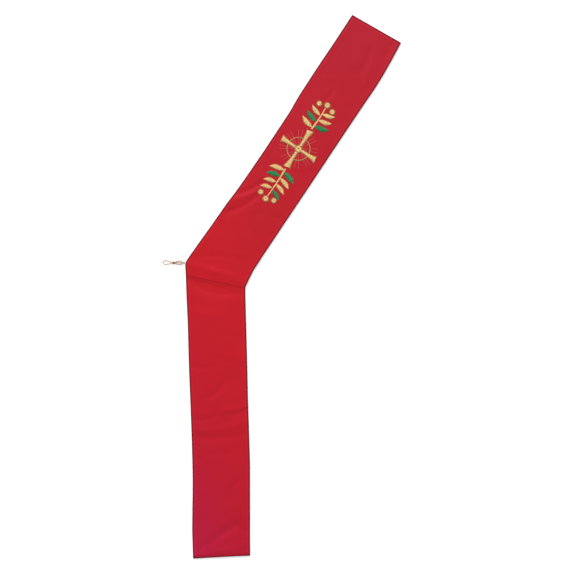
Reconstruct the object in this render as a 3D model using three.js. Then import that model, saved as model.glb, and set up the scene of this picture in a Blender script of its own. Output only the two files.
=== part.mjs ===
// A deacon's stole laid flat: two long lengths of cloth seamed together at the hip, in front, and the
// same two lengths of the back lying under them, with a thin cord sewn into two closing loops at the hip.
// Millimetres, +Z up. The stole rests on z = 0. The shoulder end lies towards +X +Y, the hem towards -Y.
// The origin is the middle of the cloth's own box, on the surface that it lies on.
import * as THREE from "three";

// ---------- driving sizes ----------
const CLOTH = 2.0; // wall of one length: two turned plies of satin and what is pressed between them
const PLY_GAP = 0.3; // air between the front and the back, and between pieces at a seam
const EDGE_STEPS = 4; // facets round a turned edge
const ACROSS = [0.25, 0.5, 0.75]; // places between the edges where a section may swell
const STEP = 24; // longest distance between two sections along a length

// Where the lines of the two lengths cross, between the hip corners.
const HIP_MIDDLE = { x: -189.87, y: 33.45 };
const SHOULDER_LEAN = 33.46; // degrees from +Y towards +X that the shoulder length runs
const HEM_LEAN = 1.28; // degrees from -Y towards +X that the hip length runs

const CORD_DIAMETER = 2.2;
const CORD_SIDES = 8;
const CORD_STEPS = 64;

const RED = 0xb3202f;
const DARK_RED = 0x8f1a26;
const CREAM = 0xd9c4a4;
const BROWN = 0x9c7a62;

// Each row is one section across a length. along: distance from the hip middle. skew: how far the right
// edge is ahead of the left one. The first row is the seam at the hip, which runs from the inner corner
// to the outer edge a little below the outer corner. left, right: half widths either side of the line
// of the length, seen with the hem down. swell: how far the middle of the front lifts off the back.
const SHOULDER_ROWS = [
  { along: -15.8, skew: 54.2, left: 57.6, right: 80.5, swell: 1.2 },
  { along: 4.4, skew: 47.2, left: 75.2, right: 77.9, swell: 0.9 },
  { along: 41.0, skew: 32.0, left: 74.2, right: 74.4, swell: 0.6 },
  { along: 95.0, skew: 8.0, left: 71.8, right: 74.0, swell: 0.8 },
  { along: 155.0, skew: 0.0, left: 70.1, right: 74.3, swell: 0.6 },
  { along: 195.0, skew: 0.0, left: 67.5, right: 74.5, swell: 1.0 },
  { along: 235.0, skew: 0.0, left: 66.2, right: 74.8, swell: 1.2 },
  { along: 312.0, skew: 0.0, left: 65.0, right: 75.2, swell: 1.1 },
  { along: 430.0, skew: 0.0, left: 65.0, right: 75.5, swell: 1.0 },
  { along: 468.0, skew: 0.0, left: 67.8, right: 75.6, swell: 0.8 },
  { along: 545.0, skew: 0.0, left: 68.6, right: 76.2, swell: 0.9 },
  { along: 588.0, skew: 2.0, left: 68.3, right: 77.0, swell: 0.5 },
  { along: 625.0, skew: 4.0, left: 68.0, right: 76.1, swell: 0.7 },
  { along: 662.0, skew: 6.0, left: 68.0, right: 73.5, swell: 0.4 },
  { along: 713.5, skew: 8.8, left: 68.3, right: 68.7, swell: 0.2 },
];
const HIP_ROWS = [
  { along: 19.5, skew: 34.2, left: 71.8, right: 72.6, swell: 0.2 },
  { along: 62.0, skew: 16.0, left: 71.1, right: 72.2, swell: 0.5 },
  { along: 117.0, skew: 0.0, left: 69.6, right: 72.6, swell: 0.8 },
  { along: 234.0, skew: 0.0, left: 68.9, right: 73.0, swell: 0.6 },
  { along: 312.0, skew: 0.0, left: 67.4, right: 72.9, swell: 1.0 },
  { along: 390.0, skew: 0.0, left: 66.2, right: 73.8, swell: 0.5 },
  { along: 468.0, skew: 0.0, left: 65.7, right: 74.3, swell: 0.9 },
  { along: 506.0, skew: 0.0, left: 66.1, right: 73.5, swell: 0.7 },
  { along: 545.0, skew: 0.0, left: 67.2, right: 72.6, swell: 0.8 },
  { along: 584.0, skew: 0.0, left: 68.7, right: 71.8, swell: 0.9 },
  { along: 623.0, skew: -1.0, left: 69.9, right: 70.9, swell: 0.6 },
  { along: 691.8, skew: -3.0, left: 69.4, right: 69.7, swell: 0.3 },
];
const BACK_HEM_SHOWS = 1.5; // the back's hem reaches this much lower at its left corner

// ---------- lengths of cloth ----------
// A line of cloth: where it starts, which way it runs, and which way its right edge lies.
function lineOfCloth(leanDegrees, runsUp) {
  const lean = THREE.MathUtils.degToRad(leanDegrees);
  const ahead = new THREE.Vector2(Math.sin(lean), runsUp ? Math.cos(lean) : -Math.cos(lean));
  const toRight = runsUp ? new THREE.Vector2(ahead.y, -ahead.x) : new THREE.Vector2(-ahead.y, ahead.x);
  return { ahead, toRight };
}

// The rows with more sections between them, each column eased by a straight line.
function refined(rows) {
  const fine = [rows[0]];
  for (let i = 1; i < rows.length; i++) {
    const from = rows[i - 1];
    const to = rows[i];
    const parts = Math.max(1, Math.ceil((to.along - from.along) / STEP));
    for (let k = 1; k <= parts; k++) {
      const row = {};
      for (const column of Object.keys(to)) {
        row[column] = THREE.MathUtils.lerp(from[column], to[column], k / parts);
      }
      fine.push(row);
    }
  }
  return fine;
}

// One closed ring round the wall at a section: under side left to right, right edge, top side, left edge.
function sectionRing(line, row, base, swells) {
  const half = CLOTH / 2;
  const rise = swells ? row.swell : 0;
  const width = row.left + row.right;
  const place = (across, height) => {
    const share = (across + row.left) / width;
    const along = row.along + row.skew * (share - 0.5);
    const lift = rise * Math.sin(Math.PI * THREE.MathUtils.clamp(share, 0, 1));
    return new THREE.Vector3(
      HIP_MIDDLE.x + line.ahead.x * along + line.toRight.x * across,
      HIP_MIDDLE.y + line.ahead.y * along + line.toRight.y * across,
      base + height + lift,
    );
  };
  const ring = [];
  const edge = (centre, fromAngle) => {
    for (let k = 0; k <= EDGE_STEPS; k++) {
      const angle = fromAngle + (Math.PI * k) / EDGE_STEPS;
      ring.push(place(centre + half * Math.cos(angle), half + half * Math.sin(angle)));
    }
  };
  ACROSS.forEach((share) => ring.push(place(-row.left + width * share, 0)));
  edge(row.right - half, -Math.PI / 2);
  ACROSS.toReversed().forEach((share) => ring.push(place(-row.left + width * share, CLOTH)));
  edge(-row.left + half, Math.PI / 2);
  return ring;
}

// A closed wall through rings that all have the same number of points.
function loft(rings, outward) {
  const around = rings[0].length;
  const points = rings.flat();
  const faces = [];
  const face = (a, b, c) => faces.push(...(outward ? [a, b, c] : [a, c, b]));
  for (let i = 0; i + 1 < rings.length; i++) {
    for (let k = 0; k < around; k++) {
      const next = (k + 1) % around;
      const low = i * around;
      const high = low + around;
      face(low + k, high + next, low + next);
      face(low + k, high + k, high + next);
    }
  }
  // Each end is a strip between the under side and the top side, so that it follows the swell.
  const cap = (start, flip) => {
    const turn = (a, b, c) => (flip ? face(a, c, b) : face(a, b, c));
    let low = 0;
    let high = around - 1;
    while (high - low > 1) {
      turn(start + low, start + low + 1, start + high);
      low += 1;
      if (high - low > 1) {
        turn(start + low, start + high - 1, start + high);
        high -= 1;
      }
    }
  };
  cap(0, false);
  cap((rings.length - 1) * around, true);
  const geometry = new THREE.BufferGeometry().setFromPoints(points);
  geometry.setIndex(faces);
  geometry.computeVertexNormals();
  return geometry;
}

// One length, drawn back by half the seam gap at the hip.
function clothLength({ lean, runsUp, rows, base, swells, hemShows = 0 }) {
  const line = lineOfCloth(lean, runsUp);
  const seamShare = PLY_GAP * 0.53;
  const sections = refined(rows).map((row) => ({ ...row }));
  sections[0].along += seamShare;
  const last = sections[sections.length - 1];
  last.along += hemShows / 2;
  last.skew -= hemShows;
  const rings = sections.map((row) => sectionRing(line, row, base, swells));
  return loft(rings, runsUp);
}

// ---------- hip cord ----------
// The cord leaves the hip corner, runs straight through the near loop to the pinch, round the far loop,
// back through the pinch, round the near loop over its own first stretch, and ends in the binding.
const CORD_ROUTE = [
  { x: -263.7, y: 58.6, z: 2.2 },
  { x: -269.5, y: 58.5, z: 1.3 },
  { x: -276.0, y: 58.6, z: 1.1 },
  { x: -283.0, y: 59.3, z: 1.4 },
  { x: -288.4, y: 59.9, z: 2.05 },
  { x: -293.4, y: 60.0, z: 2.05 },
  { x: -298.5, y: 61.2, z: 1.3 },
  { x: -304.0, y: 62.9, z: 1.1 },
  { x: -310.5, y: 63.9, z: 1.1 },
  { x: -315.6, y: 62.8, z: 1.1 },
  { x: -317.8, y: 59.6, z: 1.1 },
  { x: -315.9, y: 56.2, z: 1.1 },
  { x: -311.0, y: 55.2, z: 1.1 },
  { x: -304.5, y: 55.8, z: 1.1 },
  { x: -298.5, y: 56.7, z: 1.3 },
  { x: -293.4, y: 57.3, z: 2.05 },
  { x: -288.4, y: 57.3, z: 2.05 },
  { x: -283.4, y: 55.6, z: 1.3 },
  { x: -277.5, y: 54.2, z: 1.15 },
  { x: -272.0, y: 55.0, z: 1.9 },
  { x: -269.4, y: 58.6, z: 3.75 },
  { x: -271.8, y: 62.1, z: 2.0 },
  { x: -277.5, y: 63.2, z: 1.2 },
  { x: -283.5, y: 62.2, z: 1.9 },
  { x: -288.4, y: 58.8, z: 4.15 },
  { x: -292.4, y: 58.6, z: 4.15 },
];
// The thread binding is a short sleeve round the three strands that lie side by side at the pinch.
const BINDING = { middle: -290.9, length: 4.4, wall: 0.5, clearance: 0.45 };
const BOUND_STRANDS = [
  { y: 57.4, z: 2.05 },
  { y: 59.9, z: 2.05 },
  { y: 58.65, z: 4.15 },
];

function circle(radius, sides) {
  const shape = new THREE.Shape();
  for (let k = 0; k < sides; k++) {
    const angle = (2 * Math.PI * (k + 0.5)) / sides;
    const at = [radius * Math.cos(angle), radius * Math.sin(angle)];
    if (k === 0) shape.moveTo(...at);
    else shape.lineTo(...at);
  }
  shape.closePath();
  return shape;
}

function hipLoopCord() {
  const route = new THREE.CatmullRomCurve3(
    CORD_ROUTE.map(({ x, y, z }) => new THREE.Vector3(x, y, z)),
    false,
    "centripetal",
  );
  return new THREE.ExtrudeGeometry(circle(CORD_DIAMETER / 2, CORD_SIDES), {
    steps: CORD_STEPS,
    extrudePath: route,
  });
}

// The outline that lies a constant distance outside the bound strands, taken round them in turn.
function roundStrands(outline, distance) {
  BOUND_STRANDS.forEach((strand, i) => {
    const before = BOUND_STRANDS[(i + 2) % 3];
    const after = BOUND_STRANDS[(i + 1) % 3];
    const facing = (from, to) => Math.atan2(to.z - from.z, to.y - from.y) - Math.PI / 2;
    outline.absarc(strand.y, strand.z, distance, facing(before, strand), facing(strand, after), false);
  });
  outline.closePath();
  return outline;
}

function hipLoopBinding() {
  const inside = CORD_DIAMETER / 2 + BINDING.clearance;
  const sleeve = roundStrands(new THREE.Shape(), inside + BINDING.wall);
  sleeve.holes.push(roundStrands(new THREE.Path(), inside));
  const geometry = new THREE.ExtrudeGeometry(sleeve, {
    depth: BINDING.length,
    bevelEnabled: false,
    curveSegments: 6,
  });
  const across = new THREE.Vector3(0, 1, 0);
  const up = new THREE.Vector3(0, 0, 1);
  const along = new THREE.Vector3(1, 0, 0);
  geometry.applyMatrix4(new THREE.Matrix4().makeBasis(across, up, along));
  geometry.translate(BINDING.middle - BINDING.length / 2, 0, 0);
  return geometry;
}

// ---------- the stole ----------
function mesh(name, geometry, color, roughness) {
  const material = new THREE.MeshStandardMaterial({ color, roughness, metalness: 0 });
  const made = new THREE.Mesh(geometry, material);
  made.name = name;
  return made;
}

const stole = new THREE.Group();
const FRONT_BASE = CLOTH + PLY_GAP;
const SHOULDER = { lean: SHOULDER_LEAN, runsUp: true, rows: SHOULDER_ROWS };
const HIP = { lean: HEM_LEAN, runsUp: false, rows: HIP_ROWS };

const backHip = { ...HIP, base: 0, swells: false, hemShows: BACK_HEM_SHOWS };
stole.add(
  mesh("back_shoulder_band", clothLength({ ...SHOULDER, base: 0, swells: false }), DARK_RED, 0.7),
  mesh("back_hip_band", clothLength(backHip), DARK_RED, 0.7),
  mesh("front_shoulder_band", clothLength({ ...SHOULDER, base: FRONT_BASE, swells: true }), RED, 0.6),
  mesh("front_hip_band", clothLength({ ...HIP, base: FRONT_BASE, swells: true }), RED, 0.6),
  mesh("hip_loop_cord", hipLoopCord(), CREAM, 0.8),
  mesh("hip_loop_binding", hipLoopBinding(), BROWN, 0.8),
);

export default stole;
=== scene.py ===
# %% [markdown]
# # A deacon's stole, laid flat
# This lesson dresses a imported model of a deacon's stole. The stole is one long red band: the front runs
# from the shoulder to the hip and on to the hem, and the back is the same band again, lying under it.
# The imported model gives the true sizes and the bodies. Every mesh below is laid on that frame, in metres,
# with +Z up off the surface that the stole lies on, +Y from the hem to the shoulder end, and +X to the right.

# %% Load the frame
import bmesh
import bpy
import math
import numpy as np
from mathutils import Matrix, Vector


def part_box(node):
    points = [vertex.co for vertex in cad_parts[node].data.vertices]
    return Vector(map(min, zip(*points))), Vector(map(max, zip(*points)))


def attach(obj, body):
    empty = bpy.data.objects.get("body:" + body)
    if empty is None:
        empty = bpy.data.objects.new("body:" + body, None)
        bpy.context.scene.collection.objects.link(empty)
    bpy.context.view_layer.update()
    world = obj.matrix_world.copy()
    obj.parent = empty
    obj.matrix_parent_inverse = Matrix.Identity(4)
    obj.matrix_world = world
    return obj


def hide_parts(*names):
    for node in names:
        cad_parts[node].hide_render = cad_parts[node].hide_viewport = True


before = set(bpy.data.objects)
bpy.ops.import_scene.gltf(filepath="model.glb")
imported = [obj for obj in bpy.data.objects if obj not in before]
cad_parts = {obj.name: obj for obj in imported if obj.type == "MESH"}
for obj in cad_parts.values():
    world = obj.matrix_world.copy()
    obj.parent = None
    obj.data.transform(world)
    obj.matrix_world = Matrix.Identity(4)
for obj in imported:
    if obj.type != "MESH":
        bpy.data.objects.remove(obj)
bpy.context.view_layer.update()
MM = 0.001
print("nodes:", sorted(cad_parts))

# %% [markdown]
# ## Camera
# The stole is seen from straight above, so its outline shows undistorted. A long lens far away keeps the
# edges of the band from leaning. The view is as wide as the stole is long, with a little air round it.

# %% Camera
VIEW_WIDTH = 1.4026  # what the square view takes in, at the height of the cloth
VIEW_MIDDLE = (-0.0124, -0.0030)
LENS_MM, SENSOR_MM = 85.0, 36.0
CLOTH_HEIGHT = 0.0043

camera_data = bpy.data.cameras.new("overhead_camera")
camera_data.lens = LENS_MM
camera_data.sensor_width = SENSOR_MM
camera = bpy.data.objects.new("overhead_camera", camera_data)
camera.location = (*VIEW_MIDDLE, CLOTH_HEIGHT + VIEW_WIDTH * LENS_MM / SENSOR_MM)
bpy.context.scene.collection.objects.link(camera)
bpy.context.scene.camera = camera
print("camera height, m:", round(camera.location.z, 3))

# %% [markdown]
# ## Helpers for meshes
# A garment is mostly swept and gridded surfaces, so two helpers are enough: one that turns lists of points
# and faces into an object, and one that sweeps a round, twisted or flattened section along a line.

# %% Mesh helpers
def mesh_piece(name, points, faces, smooth=True):
    """A mesh object at the origin, with its place in its mesh and its normals facing out."""
    data = bpy.data.meshes.new(name)
    data.from_pydata([tuple(p) for p in points], [], faces)
    cleaner = bmesh.new()
    cleaner.from_mesh(data)
    bmesh.ops.recalc_face_normals(cleaner, faces=cleaner.faces)
    if cleaner.calc_volume(signed=True) < 0:
        bmesh.ops.reverse_faces(cleaner, faces=cleaner.faces)
    open_edges = sum(not edge.is_manifold for edge in cleaner.edges)
    print(name, "faces:", len(cleaner.faces), "open edges:", open_edges)
    cleaner.to_mesh(data)
    cleaner.free()
    data.polygons.foreach_set("use_smooth", [smooth] * len(data.polygons))
    piece = bpy.data.objects.new(name, data)
    bpy.context.scene.collection.objects.link(piece)
    return piece


def smooth_route(points, step):
    """A centripetal curve through the points, sampled about every step."""
    p = np.array(points, float)
    p = np.vstack([2 * p[0] - p[1], p, 2 * p[-1] - p[-2]])
    found = []
    for a, b, c, d in zip(p[:-3], p[1:-2], p[2:-1], p[3:]):
        knots = np.cumsum([0] + [np.linalg.norm(q - r) ** 0.5 for q, r in ((b, a), (c, b), (d, c))])
        count = max(2, int(np.linalg.norm(c - b) / step))
        for t in np.linspace(knots[1], knots[2], count, endpoint=False):
            near = [q + (r - q) * (t - k0) / (k1 - k0) for q, r, k0, k1 in
                    ((a, b, knots[0], knots[1]), (b, c, knots[1], knots[2]), (c, d, knots[2], knots[3]))]
            far = [near[i] + (near[i + 1] - near[i]) * (t - knots[i]) / (knots[i + 2] - knots[i])
                   for i in (0, 1)]
            found.append(far[0] + (far[1] - far[0]) * (t - knots[1]) / (knots[2] - knots[1]))
    return np.array(found + [p[-2]])


def along_line(line):
    """How far each point is along a line."""
    return np.concatenate([[0], np.cumsum(np.linalg.norm(np.diff(line, axis=0), axis=1))])


def sweep(name, line, radius_at, sides):
    """A closed tube along a line, with its UV map in metres. radius_at(angle, distance) is its section."""
    ahead = np.gradient(line, axis=0)
    ahead /= np.linalg.norm(ahead, axis=1)[:, None]
    side = np.cross(ahead[0], (0.0, 0.0, 1.0))
    side /= np.linalg.norm(side)
    far = along_line(line)
    angles = np.linspace(0, 2 * math.pi, sides, endpoint=False)
    points = []
    for here, forward, distance in zip(line, ahead, far):
        side = side - forward * np.dot(side, forward)
        side /= np.linalg.norm(side)
        up = np.cross(forward, side)
        for angle in angles:
            points.append(here + radius_at(angle, distance) * (math.cos(angle) * side + math.sin(angle) * up))
    faces = []
    for i in range(len(line) - 1):
        for k in range(sides):
            n = (k + 1) % sides
            faces.append((i * sides + k, i * sides + n, (i + 1) * sides + n, (i + 1) * sides + k))
    points += [line[0], line[-1]]
    for k in range(sides):
        n = (k + 1) % sides
        last = (len(line) - 1) * sides
        faces.append((len(points) - 2, n, k))
        faces.append((len(points) - 1, last + k, last + n))
    piece = mesh_piece(name, points, faces)
    wide = 2 * math.pi * radius_at(0, 0)
    uv = piece.data.uv_layers.new(name="UVMap")
    for polygon in piece.data.polygons:
        ring = [v for v in polygon.vertices if v < len(points) - 2]
        wraps = {v % sides for v in ring} >= {0, sides - 1}
        for corner, v in zip(polygon.loop_indices, polygon.vertices):
            turn = v % sides + (sides if wraps and v % sides == 0 else 0)
            uv.data[corner].uv = (wide * turn / sides, far[min(v // sides, len(far) - 1)])
    return piece


# %% [markdown]
# ## Hip cord
# At the outer corner of the hip a thin cream cord is sewn in, to close the front to the back when the stole
# is worn. It runs out through a near loop to a bound pinch, round an open far loop, back through the pinch
# and round the near loop, and its end is caught in the binding. A curve with a round bevel would give its
# path, but a three-ply cord shows its twist, so a lobed section is swept along it and turned as it goes.

# %% Hip cord
CORD_DIAMETER = 0.0022
CORD_ROUTE_MM = [
    (-263.7, 58.6, 2.2), (-269.5, 58.5, 1.3), (-276.0, 58.6, 1.1), (-283.0, 59.3, 1.4),
    (-288.4, 59.9, 2.05), (-293.4, 60.0, 2.05), (-298.5, 61.2, 1.3), (-304.0, 62.9, 1.1),
    (-310.5, 63.9, 1.1), (-315.6, 62.8, 1.1), (-317.8, 59.6, 1.1), (-315.9, 56.2, 1.1),
    (-311.0, 55.2, 1.1), (-304.5, 55.8, 1.1), (-298.5, 56.7, 1.3), (-293.4, 57.3, 2.05),
    (-288.4, 57.3, 2.05), (-283.4, 55.6, 1.3), (-277.5, 54.2, 1.15), (-272.0, 55.0, 1.9),
    (-269.4, 58.6, 3.75), (-271.8, 62.1, 2.0), (-277.5, 63.2, 1.2), (-283.5, 62.2, 1.9),
    (-288.4, 58.8, 4.15), (-292.4, 58.6, 4.15),
]
CORD_STEP = 0.0004
CORD_SIDES = 24
PLIES = 3
PLY_PITCH = 0.0066  # length of one full turn of the twist
PLY_GROOVE = 0.20  # how deep the grooves between plies are, as a share of the radius


def twisted_radius(angle, distance):
    """A section of three plies, turned as it goes along."""
    phase = PLIES / 2 * (angle - 2 * math.pi * distance / PLY_PITCH)
    return CORD_DIAMETER / 2 * (1 - PLY_GROOVE + PLY_GROOVE * abs(math.cos(phase)))


cord_line = smooth_route([[c * MM for c in point] for point in CORD_ROUTE_MM], CORD_STEP)
hip_cord = sweep("hip_cord", cord_line, twisted_radius, CORD_SIDES)

# %% [markdown]
# ## Bindings on the cord
# Two short windings of brown thread hold the cord: one round the three strands at the pinch, and one at the
# root, where the cord goes into the seam. Each is a real winding, a thin thread in a tight helix, because a
# plain sleeve would look like plastic.

# %% Bindings
THREAD_RADIUS = 0.00026
STRANDS_MM = [(57.3, 2.05), (60.0, 2.05), (58.65, 4.15)]  # y and z of the strands in the pinch


def outline_round(centres, distance, corners_each=10):
    """The closed line that lies a constant distance outside a few centres, taken in turn."""
    outline = []
    for i, centre in enumerate(centres):
        before, after = centres[i - 1], centres[(i + 1) % len(centres)]
        start = math.atan2(centre[1] - before[1], centre[0] - before[0]) - math.pi / 2
        end = math.atan2(after[1] - centre[1], after[0] - centre[0]) - math.pi / 2
        end += 2 * math.pi if end < start else 0
        for angle in np.linspace(start, end, corners_each):
            outline.append((centre[0] + distance * math.cos(angle), centre[1] + distance * math.sin(angle)))
    return np.array(outline + outline[:1])


def winding(name, outline, middle, length, turns):
    """A thread wound round an outline in the YZ plane, along X."""
    far = along_line(outline)
    around = np.linspace(0, turns, turns * 40 + 1)
    y = np.interp((around % 1) * far[-1], far, outline[:, 0])
    z = np.interp((around % 1) * far[-1], far, outline[:, 1])
    x = middle - length / 2 + length * around / turns
    return sweep(name, np.column_stack([x, y, z]), lambda angle, distance: THREAD_RADIUS, 6)


pinch_binding = winding(
    "pinch_binding",
    outline_round([(y * MM, z * MM) for y, z in STRANDS_MM], CORD_DIAMETER / 2 + 0.00018),
    middle=-0.2909, length=0.0046, turns=9,
)
root_circle = np.array([(0.0586 + 0.00128 * math.cos(a), 0.00185 + 0.00128 * math.sin(a))
                        for a in np.linspace(0, 2 * math.pi, 41)])
root_binding = winding("root_binding", root_circle, middle=-0.2658, length=0.0028, turns=6)
print("bindings:", [len(o.data.polygons) for o in (pinch_binding, root_binding)], "faces")

# %% [markdown]
# ## Shader groups
# Several finishes share the same effects, so each effect is a node group with named inputs and outputs:
# the satin weave, a mottle of slightly uneven dye, and the fine fibres of a twisted thread. Groups give out
# only heights, masks and factors. The Principled shader stays in each material, because its fixed values
# have to sit on its own sockets.

# %% Node group tools
def new_group(name, inputs, outputs, kind="ShaderNodeTree"):
    """An empty node group with named sockets. Each input and output is (name, socket type, default)."""
    group = bpy.data.node_groups.new(name, kind)
    for direction, sockets in (("INPUT", inputs), ("OUTPUT", outputs)):
        for label, socket_type, default in sockets:
            made = group.interface.new_socket(label, in_out=direction, socket_type=socket_type)
            if default is not None:
                made.default_value = default
    return group, group.nodes.new("NodeGroupInput"), group.nodes.new("NodeGroupOutput")


def node(tree, kind, inputs=(), **settings):
    """A node with its settings. inputs is pairs of a socket name or index and the value or link for it."""
    made = tree.nodes.new(kind)
    for key, value in settings.items():
        setattr(made, key, value)
    for key, value in dict(inputs).items():
        if isinstance(value, bpy.types.NodeSocket):
            tree.links.new(value, made.inputs[key])
        else:
            made.inputs[key].default_value = value
    return made


def math_node(tree, operation, *values, clamp=False):
    """The output of a Math node on numbers or sockets."""
    return node(tree, "ShaderNodeMath", enumerate(values), operation=operation, use_clamp=clamp).outputs[0]


# %% [markdown]
# ### Satin weave
# Satin looks smooth because each warp yarn floats over four weft yarns and dips under the fifth, and the
# dips are scattered. The group works on the cloth's own UV map, in metres, so the yarns follow each length
# of cloth and change direction at the seam, as real yarns do.

# %% Satin weave group
def satin_weave_group():
    group, given, out = new_group(
        "satin_weave",
        [("Vector", "NodeSocketVector", None), ("Yarn", "NodeSocketFloat", 0.0003)],
        [("Height", "NodeSocketFloat", None), ("Dip", "NodeSocketFloat", None)],
    )
    place = node(group, "ShaderNodeSeparateXYZ", [(0, given.outputs["Vector"])])
    across = math_node(group, "DIVIDE", place.outputs["X"], given.outputs["Yarn"])
    along = math_node(group, "DIVIDE", place.outputs["Y"], given.outputs["Yarn"])
    yarn_index = math_node(group, "FLOOR", across)
    across_yarn = math_node(group, "MULTIPLY", math_node(group, "FRACT", across), math.pi)
    round_yarn = math_node(group, "SINE", across_yarn)
    shifted = math_node(group, "MULTIPLY_ADD", yarn_index, 2.0, along)
    fifth = math_node(group, "FRACT", math_node(group, "DIVIDE", shifted, 5.0))
    from_dip = math_node(group, "MULTIPLY", math_node(group, "PINGPONG", fifth, 0.5), 5.0, clamp=True)
    height = math_node(group, "MULTIPLY", round_yarn, from_dip)
    group.links.new(height, out.inputs["Height"])
    group.links.new(math_node(group, "SUBTRACT", 1.0, from_dip), out.inputs["Dip"])
    return group


SATIN_WEAVE = satin_weave_group()

# %% [markdown]
# ### Uneven dye
# No dyed cloth is one flat colour. Two sizes of soft noise shift it a little: broad drifts of a few
# centimetres and a finer mottle of a few millimetres.

# %% Uneven dye group
def uneven_dye_group():
    group, given, out = new_group(
        "uneven_dye",
        [("Vector", "NodeSocketVector", None), ("Broad Size", "NodeSocketFloat", 0.09),
         ("Fine Size", "NodeSocketFloat", 0.006), ("Amount", "NodeSocketFloat", 0.5)],
        [("Factor", "NodeSocketFloat", None)],
    )
    parts = []
    for size, detail in (("Broad Size", 2.0), ("Fine Size", 3.0)):
        scale = math_node(group, "DIVIDE", 1.0, given.outputs[size])
        noise = node(group, "ShaderNodeTexNoise",
                     [("Vector", given.outputs["Vector"]), ("Scale", scale), ("Detail", detail)])
        parts.append(math_node(group, "SUBTRACT", noise.outputs["Fac"], 0.5))
    both = math_node(group, "MULTIPLY_ADD", parts[1], 0.5, parts[0])
    factor = math_node(group, "MULTIPLY_ADD", both, given.outputs["Amount"], 0.5, clamp=True)
    group.links.new(factor, out.inputs["Factor"])
    return group


UNEVEN_DYE = uneven_dye_group()

# %% [markdown]
# ### Thread fibres
# A sewing or embroidery thread is a bundle of fine filaments laid at a slight angle. Stretched noise on
# the thread's UV map, or on its own coordinates, gives fine bright and dark streaks that run along it.

# %% Thread fibre group
def thread_fibre_group():
    group, given, out = new_group(
        "thread_fibre",
        [("Vector", "NodeSocketVector", None), ("Fibre", "NodeSocketFloat", 0.00012),
         ("Stretch", "NodeSocketFloat", 8.0)],
        [("Height", "NodeSocketFloat", None), ("Shade", "NodeSocketFloat", None)],
    )
    place = node(group, "ShaderNodeSeparateXYZ", [(0, given.outputs["Vector"])])
    drawn_out = math_node(group, "DIVIDE", place.outputs["Y"], given.outputs["Stretch"])
    bundle = node(group, "ShaderNodeCombineXYZ",
                  [(0, place.outputs["X"]), (1, drawn_out), (2, place.outputs["Z"])])
    scale = math_node(group, "DIVIDE", 1.0, given.outputs["Fibre"])
    noise = node(group, "ShaderNodeTexNoise",
                 [("Vector", bundle.outputs[0]), ("Scale", scale), ("Detail", 2.0)])
    group.links.new(noise.outputs["Fac"], out.inputs["Height"])
    group.links.new(noise.outputs["Fac"], out.inputs["Shade"])
    return group


THREAD_FIBRE = thread_fibre_group()
print("shader groups:", [g.name for g in (SATIN_WEAVE, UNEVEN_DYE, THREAD_FIBRE)])

# %% [markdown]
# ## Red satin
# The cloth is one dyed satin, and painted light is laid into its colour. A colour ramp along the row's Y axis
# paints the sheen's drift along the band: a little greyer and darker at the shoulder end, where the lamp falls
# strongest, warm at the hip and crimson at the hem, most of all at the hem's left. It follows the Y axis because
# both layers lie in the same light. Each pressed edge gets painted shade, a deeper red where the cloth turns
# under, read from the cloth's own edge distance, with a thin painted highlight just inside it along the pressed
# allowance, and the dips of the weave get painted shade too.

# %% Satin material
def srgb(red, green, blue):
    """A colour in 0 to 255 display values as linear light."""
    return tuple((c / 255 / 12.92) if c <= 10 else ((c / 255 + 0.055) / 1.055) ** 2.4
                 for c in (red, green, blue)) + (1.0,)


def new_material(name, roughness, sheen=0.0, sheen_roughness=0.5, specular=0.5):
    """A material with its Principled shader's fixed values set on the shader."""
    material = bpy.data.materials.new(name)
    material.use_nodes = True
    shader = material.node_tree.nodes["Principled BSDF"]
    shader.inputs["Roughness"].default_value = roughness
    shader.inputs["Sheen Weight"].default_value = sheen
    shader.inputs["Sheen Roughness"].default_value = sheen_roughness
    shader.inputs["Specular IOR Level"].default_value = specular
    return material, material.node_tree, shader


def use_group(tree, group, inputs):
    """A group node with its inputs linked or set by name."""
    made = tree.nodes.new("ShaderNodeGroup")
    made.node_tree = group
    for key, value in inputs.items():
        socket = made.inputs[key]
        if isinstance(value, bpy.types.NodeSocket):
            tree.links.new(value, socket)
        else:
            socket.default_value = value
    return made


def mix(tree, factor, first, second, blend="MIX"):
    """The colour output of a Mix node on colours or sockets."""
    made = tree.nodes.new("ShaderNodeMix")
    made.data_type = "RGBA"
    made.blend_type = blend
    for key, value in ((0, factor), (6, first), (7, second)):
        if isinstance(value, bpy.types.NodeSocket):
            tree.links.new(value, made.inputs[key])
        else:
            made.inputs[key].default_value = value
    return made.outputs[2]


HEM_Y, SHOULDER_Y = -0.663, 0.663
# Stops along the band: share of the way from the hem to the shoulder end, and the colour there, which paints in
# the light's drift along the band.
PAINTED_LIGHT_STOPS = [
    (0.00, srgb(178, 12, 60)), (0.11, srgb(174, 10, 50)), (0.22, srgb(177, 10, 37)),
    (0.36, srgb(181, 11, 30)), (0.52, srgb(184, 12, 27)), (0.76, srgb(174, 16, 32)),
    (1.00, srgb(166, 19, 38)),
]
PAINTED_LIGHT_SLANT = 0.18  # the drift runs this much further on at the band's right edge than at its left
YARN = 0.00032
PAINTED_EDGE_SHADE_REACH = 0.0054  # how far in from a turned edge the painted edge shade reaches
PAINTED_HIGHLIGHT_BAND = (0.0048, 0.0075)  # where a painted highlight runs along the pressed allowance
WEAVE_DIP_PAINTED_SHADE = (0.20, 0.004, 0.009, 1)  # painted shade in the dips of the weave
WEAVE_BUMP = 0.0001


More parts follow.
